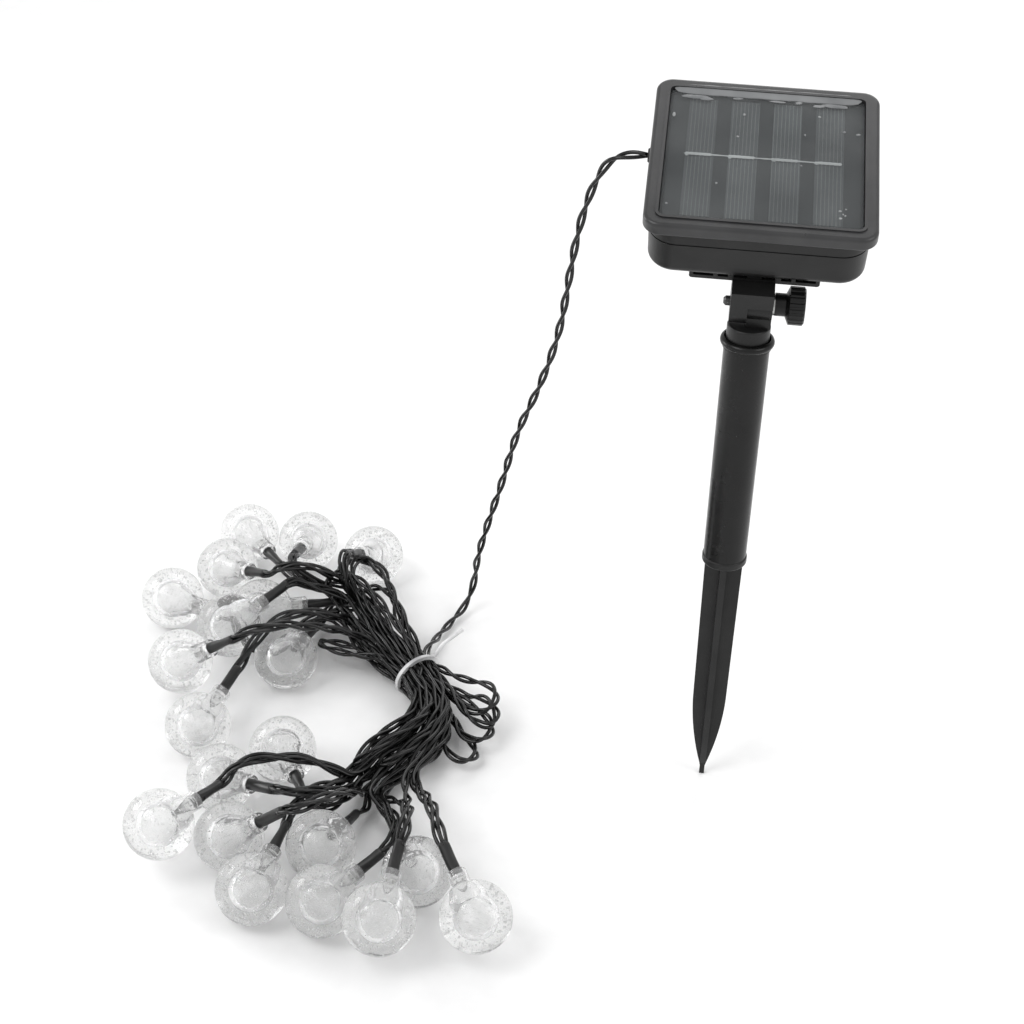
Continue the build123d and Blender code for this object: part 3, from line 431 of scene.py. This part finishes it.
def place_studio():
    """A pale floor, a bright even room and four soft lights."""
    bpy.ops.mesh.primitive_plane_add(size=12.0, location=(0, 0, -0.0004))
    floor = bpy.context.object
    floor.name = "floor"
    card = moulded("floor_card", (0.90, 0.90, 0.90), (0.93, 0.93, 0.93), 0.85, 60.0, 0.02)
    floor.data.materials.append(card)
    world = bpy.data.worlds.new("room")
    world.use_nodes = True
    world.node_tree.nodes["Background"].inputs["Color"].default_value = (1, 1, 1, 1)
    world.node_tree.nodes["Background"].inputs["Strength"].default_value = ROOM_LIGHT
    bpy.context.scene.world = world
    bpy.context.scene.view_settings.view_transform = "Standard"
    middle = (-0.08, 0.0, 0.12)
    soft_light("key", (-0.9, -0.7, 1.5), middle, 0.9, KEY_POWER)
    soft_light("fill", (1.1, -0.5, 1.1), middle, 0.9, 0.5 * KEY_POWER)
    soft_light("rear", (0.1, 1.3, 1.2), middle, 0.8, 0.45 * KEY_POWER)
    soft_light("side", (-0.9, 0.25, 0.35), middle, 0.35, 0.22 * KEY_POWER)


# ---- mesh helpers ----
def new_piece(name, vertices, faces, material):
    mesh = bpy.data.meshes.new(name)
    mesh.from_pydata([tuple(v) for v in vertices], [], faces)
    mesh.shade_smooth()
    mesh.materials.append(material)
    piece = bpy.data.objects.new(name, mesh)
    bpy.context.scene.collection.objects.link(piece)
    return piece


def spline_line(name, points):
    """The points of the smooth curve that a route's control points make."""
    curve = bpy.data.curves.new(name, "CURVE")
    curve.dimensions = "3D"
    curve.resolution_u = 10
    spline = curve.splines.new("NURBS")
    spline.points.add(len(points) - 1)
    for control, point in zip(spline.points, points):
        control.co = (*point, 1)
    spline.order_u = 3
    spline.use_endpoint_u = True
    holder = bpy.data.objects.new(name, curve)
    mesh = bpy.data.meshes.new_from_object(holder)
    line = np.array([v.co for v in mesh.vertices], float)
    bpy.data.objects.remove(holder)
    bpy.data.curves.remove(curve)
    bpy.data.meshes.remove(mesh)
    return line


def evenly(line, step):
    """The same line with its points a step apart."""
    along = np.concatenate([[0], np.cumsum(np.linalg.norm(np.diff(line, axis=0), axis=1))])
    marks = np.linspace(0, along[-1], max(8, round(along[-1] / step)) + 1)
    return np.stack([np.interp(marks, along, line[:, k]) for k in range(3)], axis=1), marks


def frames_along(line):
    """A direction across the line at each point, carried along it without twist, and the one square to it."""
    tangents = np.gradient(line, axis=0)
    tangents /= np.linalg.norm(tangents, axis=1)[:, None]
    across = np.cross(tangents[0], (0.3, 0.2, 0.93))
    sides = []
    for tangent in tangents:
        across = across - tangent * (across @ tangent)
        across = across / np.linalg.norm(across)
        sides.append(across)
    sides = np.array(sides)
    return sides, np.cross(tangents, sides)


def round_tube(centres, sides, ups, radius, count, vertices, faces):
    """Adds a closed round tube to the lists."""
    first = len(vertices)
    angles = np.linspace(0, 2 * math.pi, count, endpoint=False)
    for centre, side, up in zip(centres, sides, ups):
        vertices.extend(centre + radius * (math.cos(a) * side + math.sin(a) * up) for a in angles)
    for ring in range(len(centres) - 1):
        a, b = first + ring * count, first + (ring + 1) * count
        faces.extend((a + k, a + (k + 1) % count, b + (k + 1) % count, b + k) for k in range(count))
    last = first + (len(centres) - 1) * count
    faces.append(tuple(range(first + count - 1, first - 1, -1)))
    faces.append(tuple(range(last, last + count)))


def twisted_pair(name, points, twist, phase, count):
    """Two wires that twist round a route's smooth line. Returns the mesh, the line and its length."""
    line, marks = evenly(spline_line(name, points), RING_STEP)
    sides, ups = frames_along(line)
    vertices, faces = [], []
    for turn in (0.0, math.pi):
        angle = phase + turn + 2 * math.pi * marks / twist
        offset = np.cos(angle)[:, None] * sides + np.sin(angle)[:, None] * ups
        round_tube(line + WIRE_OFFSET * offset, sides, ups, WIRE_RADIUS, count, vertices, faces)
    return new_piece(name, vertices, faces, WIRE), line, marks[-1]


# ---- the string: bulbs, links and lead ----
def bulb_direction(index):
    heading, lift = (math.radians(a) for a in BULBS[index][3:])
    return Vector((math.cos(lift) * math.cos(heading), math.cos(lift) * math.sin(heading), math.sin(lift)))


def bulb_matrix(index, roll=0.0):
    """Puts a piece made along Z at the bulb, with Z along its neck."""
    turn = bulb_direction(index).to_track_quat("Z", "Y").to_matrix().to_4x4()
    return Matrix.Translation(BULBS[index][:3]) @ turn @ Matrix.Rotation(roll, 4, "Z")


def tail_points(index, side):
    """One pair's way from a sleeve to the hank, beside the bulb's other pair."""
    origin, along = Vector(BULBS[index][:3]), bulb_direction(index)
    middle = [origin + along * (SLEEVE_END - 0.002), origin + along * (SLEEVE_END + TAIL_STRAIGHT)]
    middle += [Vector(p) for p in TAILS[index]]
    made = []
    for k, point in enumerate(middle):
        run = middle[min(k + 1, len(middle) - 1)] - middle[max(k - 1, 0)]
        across = run.cross(Vector((0, 0, 1))).normalized()
        made.append(point + across * side * (SLEEVE_SPREAD if k == 0 else PAIR_SPREAD))
    return [tuple(p) for p in made]


def in_station(station, slot):
    """A place in a section of the hank: the slot is from -1 to 1 across it and up it."""
    x, y, heading, width, height = station
    turn = math.radians(heading)
    across, rise = slot[0] * (width / 2 - HANK_INSET), slot[1] * (height / 2 - HANK_INSET)
    return (x - across * math.sin(turn), y + across * math.cos(turn), HANK_FLOOR + height / 2 + rise)


def through_hank(stations, end, slot, away, rng):
    """The stations between a tail's end and the waist, in order from the waist outwards."""
    made = []
    for station in stations:
        x, y, heading = station[:3]
        turn = math.radians(heading)
        beyond = away * ((end[0] - x) * math.cos(turn) + (end[1] - y) * math.sin(turn))
        if beyond > STATION_CLEAR:
            shift = [c + rng.uniform(-1, 1) * HANK_JITTER for c in slot]
            size = max(1.0, math.hypot(*shift) / 0.98)
            made.append(in_station(station, [c / size for c in shift]))
    return made


def entry(stations, end, slot):
    """Where a tail joins the hank: its own end, moved towards its slot in the nearest section."""
    nearest = min(stations, key=lambda s: math.hypot(end[0] - s[0], end[1] - s[1]))
    place = in_station(nearest, slot)
    return tuple(0.45 * a + 0.55 * b for a, b in zip(end, place))


def lateral(index, stations, away):
    """How far across the bundle a bulb's tail enters it."""
    x, y, heading = stations[0][:3]
    turn = math.radians(heading)
    end = TAILS[index][-1]
    return -(end[0] - x) * math.sin(turn) + (end[1] - y) * math.cos(turn)


def waist_slots(count):
    """Places spread evenly over the tied waist's section."""
    slots = []
    for k in range(count):
        reach, angle = math.sqrt((k + 0.5) / count), k * math.pi * (3 - math.sqrt(5))
        slots.append((reach * math.cos(angle), reach * math.sin(angle)))
    return slots


def link_bulbs():
    """Each link joins a bulb at the hank's upper end to one at its lower end."""
    pairs = []
    for k, upper in enumerate(UPPER_BULBS):
        pairs.append((upper, LOWER_BULBS[k]))
        if k + 1 < len(UPPER_BULBS):
            pairs.append((UPPER_BULBS[k + 1], LOWER_BULBS[k]))
    return pairs


def place_string():
    rng = random.Random(7)
    pairs = link_bulbs()
    folds = [RIGHT_FOLD_1, UPPER_FOLD_1, RIGHT_FOLD_4, UPPER_FOLD_3, RIGHT_FOLD_2, UPPER_FOLD_2,
             RIGHT_FOLD_3, LEFT_FOLD, LOWER_FOLD, UPPER_FOLD_4, LOWER_FOLD_2]
    slots = waist_slots(len(pairs) + len(folds) + 1)
    lead_slots = sorted(slots, key=lambda s: s[0])[: len(folds) + 1]
    free = sorted((s for s in slots if s not in lead_slots), key=lambda s: s[0])
    order = sorted(range(len(pairs)), key=lambda k: lateral(pairs[k][0], UPPER_STATIONS, 1)
                   + lateral(pairs[k][1], LOWER_STATIONS, -1))
    slot_of = {link: free[rank] for rank, link in enumerate(order)}
    used = {}
    for k, (upper, lower) in enumerate(pairs):
        slot = slot_of[k]
        ends = []
        for index in (upper, lower):
            used[index] = used.get(index, 0) + 1
            ends.append(tail_points(index, 1 if used[index] == 1 else -1))
        ends[0][-1] = entry(UPPER_STATIONS, ends[0][-1], slot)
        ends[1][-1] = entry(LOWER_STATIONS, ends[1][-1], slot)
        above = through_hank(UPPER_STATIONS, ends[0][-1], slot, 1, rng)
        below = through_hank(LOWER_STATIONS, ends[1][-1], slot, -1, rng)
        route = ends[0] + above[::-1] + [in_station(WAIST, slot)] + below + ends[1][::-1]
        piece, line, length = twisted_pair(f"link_{k + 1:02d}", route, LINK_TWIST, rng.uniform(0, 6.28), 8)
        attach(piece, "post")
        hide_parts("bulb_tails", "hank_upper", "hank_lower")
    gland = Vector(GLAND_FACE)
    route = [tuple(gland), tuple(gland - Vector((LEAD_STRAIGHT, 0, 0)))] + LEAD_ROUTE
    for slot, fold in zip(lead_slots, folds):
        route += [in_station(WAIST, slot)] + fold
    first = UPPER_BULBS[0]
    route += [in_station(WAIST, lead_slots[-1])]
    route += through_hank(UPPER_STATIONS, TAILS[first][-1], lead_slots[-1], 1, rng)[:2]
    route += tail_points(first, -1)[::-1]
    lead, line, length = twisted_pair("lead_pair", route, LEAD_TWIST, 0.4, 12)
    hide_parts("lead_cord", "hank_upper", "hank_lower")
    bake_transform(lead)


def turned_profile(outline, count=56):
    """The vertices and faces of an outline turned about Z; points on the axis stay single."""
    vertices, faces, rings = [], [], []
    for radius, height in outline:
        if radius < 1e-7:
            rings.append([len(vertices)] * count)
            vertices.append((0, 0, height))
            continue
        rings.append(list(range(len(vertices), len(vertices) + count)))
        for k in range(count):
            angle = 2 * math.pi * k / count
            vertices.append((radius * math.cos(angle), radius * math.sin(angle), height))
    for low, high in zip(rings, rings[1:]):
        for k in range(count):
            face = (low[k], low[(k + 1) % count], high[(k + 1) % count], high[k])
            faces.append(tuple(dict.fromkeys(face)))
    return vertices, faces


def ball_outline():
    """From the ball's far pole over its outside, round the neck's rim and back in to the cavity's pole."""
    reach = math.asin(NECK_RADIUS / BALL_RADIUS)
    outline = [(0, -BALL_RADIUS)]
    outline += [(BALL_RADIUS * math.sin(a), -BALL_RADIUS * math.cos(a))
                for a in np.linspace(0.08, math.pi - reach, 40)]
    neck_foot = BALL_RADIUS * math.cos(reach)
    outline += [(NECK_RADIUS, neck_foot + 0.0006), (NECK_RADIUS, NECK_END - 0.0004),
                (NECK_RADIUS - 0.0003, NECK_END), (NECK_BORE + 0.0003, NECK_END),
                (NECK_BORE, NECK_END - 0.0004), (NECK_BORE, 0.0142)]
    outline += [(0.0044, 0.0108), (0.0060, 0.0074)]
    outline += [(CAVITY_RADIUS * math.sin(a), -CAVITY_RADIUS * math.cos(a))
                for a in np.linspace(math.pi - 0.95, 0.12, 24)]
    return outline + [(0, -CAVITY_RADIUS)]


def bubble_mesh(name, seed, count):
    """Small air bubbles in the ball's wall."""
    rng = random.Random(seed)
    build = bmesh.new()
    while count:
        spot = Vector((rng.gauss(0, 1), rng.gauss(0, 1), rng.gauss(0, 1))).normalized()
        spot *= 0.0088 + (0.0143 - 0.0088) * rng.random() ** 0.6
        if spot.z > 0.007 and math.hypot(spot.x, spot.y) < 0.0068:
            continue
        size = min(0.00042, rng.lognormvariate(-8.3, 0.35))
        bmesh.ops.create_icosphere(build, subdivisions=1, radius=size, matrix=Matrix.Translation(spot))
        count -= 1
    mesh = bpy.data.meshes.new(name)
    build.to_mesh(mesh)
    build.free()
    mesh.shade_smooth()
    mesh.materials.append(BUBBLE)
    return mesh


def place_globes():
    rng = random.Random(21)
    vertices, faces = turned_profile(ball_outline())
    pattern = new_piece("globe_pattern", vertices, faces, ACRYLIC)
    ball_mesh = pattern.data
    bpy.data.objects.remove(pattern)
    bubble_meshes = [bubble_mesh(f"bubbles_{k}", 40 + k, BUBBLE_COUNT) for k in range(4)]
    for index in range(len(BULBS)):
        place = bulb_matrix(index, rng.uniform(0, 6.28))
        for stem, mesh in (("globe", ball_mesh), ("globe_bubbles", bubble_meshes[index % 4])):
            own = mesh.copy()
            own.transform(place)
            piece = bpy.data.objects.new(f"{stem}_{index + 1:02d}", own)
            bpy.context.scene.collection.objects.link(piece)
            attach(piece, "post")
            if stem == "globe":
                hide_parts(f"crystal_globe_{index + 1:02d}")


def place_sleeves():
    """Shrunk sleeves: round over the lamp's legs, pinched into two lobes where the pairs leave."""
    rng = random.Random(5)
    vertices, faces = [], []
    steps, count = 16, 24
    for index in range(len(BULBS)):
        place = bulb_matrix(index, rng.uniform(0, 3.14))
        first = len(vertices)
        for ring in range(steps + 1):
            share = ring / steps
            height = SLEEVE_START + (SLEEVE_END - SLEEVE_START) * share
            pinch = 0.26 * min(1.0, max(0.0, (share - 0.25) / 0.4))
            end = 0.9 if ring in (0, steps) else 1.0
            for k in range(count):
                angle = 2 * math.pi * k / count
                dent = 1 + 0.02 * math.sin(3 * angle + 9 * share + index)
                reach = SLEEVE_RADIUS * 0.97 * end * dent * (1 - pinch * math.sin(angle) ** 2)
                spot = Vector((reach * math.cos(angle), reach * math.sin(angle), height))
                vertices.append(place @ spot)
        for ring in range(steps):
            a, b = first + ring * count, first + (ring + 1) * count
            faces.extend((a + k, a + (k + 1) % count, b + (k + 1) % count, b + k) for k in range(count))
        faces.append(tuple(range(first + count - 1, first - 1, -1)))
        faces.append(tuple(range(len(vertices) - count, len(vertices))))
    piece = new_piece("shrunk_sleeves", vertices, faces, SHRINK)
    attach(piece, "post")
    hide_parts("lamp_sleeves")


def place_lamp_legs():
    """The two legs that show inside each lamp."""
    vertices, faces = [], []
    for index in range(len(BULBS)):
        place = bulb_matrix(index)
        turn = place.to_3x3()
        side, up = np.array(turn @ Vector((1, 0, 0))), np.array(turn @ Vector((0, 1, 0)))
        for across, top in ((0.0009, 0.0125), (-0.0009, 0.0132)):
            centres = [np.array(place @ Vector((across, 0, h))) for h in np.linspace(0.0178, top, 4)]
            round_tube(centres, [side] * 4, [up] * 4, 0.00025, 6, vertices, faces)
    piece = new_piece("lamp_legs", vertices, faces, LEGS)
    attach(piece, "post")


# ---- the head's fine detail ----
def head_matrix():
    """From the head's own frame, where the hinge's axis is X, to the tilt that it rests at."""
    return Matrix.Translation((0, 0, HINGE_HEIGHT)) @ Matrix.Rotation(math.radians(REST_TILT), 4, "X")


def blob(build, x, y, z, width, depth, height, rng):
    """An irregular flat drop on the panel's skin."""
    made = bmesh.ops.create_icosphere(build, subdivisions=3, radius=1.0)
    turn = rng.uniform(0, 6.28)
    for vertex in made["verts"]:
        angle = math.atan2(vertex.co.y, vertex.co.x)
        reach = 1 + 0.12 * math.sin(2 * angle + turn) + 0.07 * math.sin(5 * angle + 2 * turn)
        vertex.co.x = x + vertex.co.x * reach * width / 2
        vertex.co.y = y + vertex.co.y * reach * depth / 2
        vertex.co.z = z + max(vertex.co.z, -0.3) * height


def head_piece(name, drops, material, seed):
    """One piece of many drops, which rides with the head."""
    rng = random.Random(seed)
    build = bmesh.new()
    for drop in drops:
        blob(build, *drop, rng)
    mesh = bpy.data.meshes.new(name)
    build.to_mesh(mesh)
    build.free()
    mesh.shade_smooth()
    mesh.materials.append(material)
    mesh.transform(head_matrix())
    piece = bpy.data.objects.new(name, mesh)
    bpy.context.scene.collection.objects.link(piece)
    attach(piece, "head")


def add_strip(vertices, faces, middle, half, place, width, height, tilt, wave):
    """A flat strip along X with rounded ends, on a slope about X; its width wavers by a share of itself."""
    steps, count = 48, 10
    turn = head_matrix()
    first = len(vertices)
    for ring in range(steps + 1):
        share = 2 * ring / steps - 1
        swell = max(0.0, 1 - abs(share) ** 14) ** 0.5
        edge = 1 + wave * (0.6 * math.sin(17 * share) + 0.4 * math.sin(31 * share + 1))
        for k in range(count):
            angle = 2 * math.pi * k / count
            out = 0.5 * width * swell * edge * math.cos(angle)
            lift = 0.5 * height * swell * math.sin(angle)
            y = place[0] + out * math.cos(tilt) - lift * math.sin(tilt)
            z = place[1] + out * math.sin(tilt) + lift * math.cos(tilt)
            vertices.append(turn @ Vector((middle + half * share, y, z)))
    for ring in range(steps):
        a, b = first + ring * count, first + (ring + 1) * count
        faces.extend((a + k, a + (k + 1) % count, b + (k + 1) % count, b + k) for k in range(count))


def glue_seam():
    """The pale seam of glue along the panel's rear edge, on the slope of the lip."""
    vertices, faces = [], []
    add_strip(vertices, faces, 0.0, STRIP_HALF, STRIP_PLACE, STRIP_WIDTH, STRIP_HEIGHT, STRIP_TILT, 0.05)
    piece = new_piece("glue_seam", vertices, faces, SEAM)
    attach(piece, "head")


def ribbon():
    """The tinned ribbon: a wide tab across each cell and a thin link between them."""
    vertices, faces = [], []
    for x in CELL_X:
        add_strip(vertices, faces, x, TAB_HALF, RIBBON_PLACE, TAB_WIDTH, TAB_HEIGHT, 0.0, 0.12)
    reach = CELL_X[-1] + TAB_HALF + 0.001
    add_strip(vertices, faces, RIBBON_SHIFT, reach, RIBBON_PLACE, RIBBON_WIDTH, RIBBON_HEIGHT, 0.0, 0.2)
    piece = new_piece("cell_ribbon", vertices, faces, TINNED)
    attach(piece, "head")
    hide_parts("bus_ribbon")


def place_panel_detail():
    """The glue, ribbon, bubbles and solder that show in the panel's skin."""
    glue_seam()
    ribbon()
    head_piece("resin_bubbles", [(x, y, COVER_HEIGHT, w, d, 0.00022) for x, y, w, d in BUBBLES],
               FLECK, 3)
    head_piece("glue_patches", [(x, y, COVER_HEIGHT, w, d, 0.00018) for x, y, w, d in PATCHES],
               GLUE, 4)
    head_piece("solder_drops", [(x - TAB_HALF, RIBBON_PLACE[0], SOLDER_FOOT, *SOLDER_SIZE) for x in CELL_X],
               TINNED, 6)


place_camera()
place_string()
place_studio()
place_globes()
place_sleeves()
place_lamp_legs()
place_panel_detail()
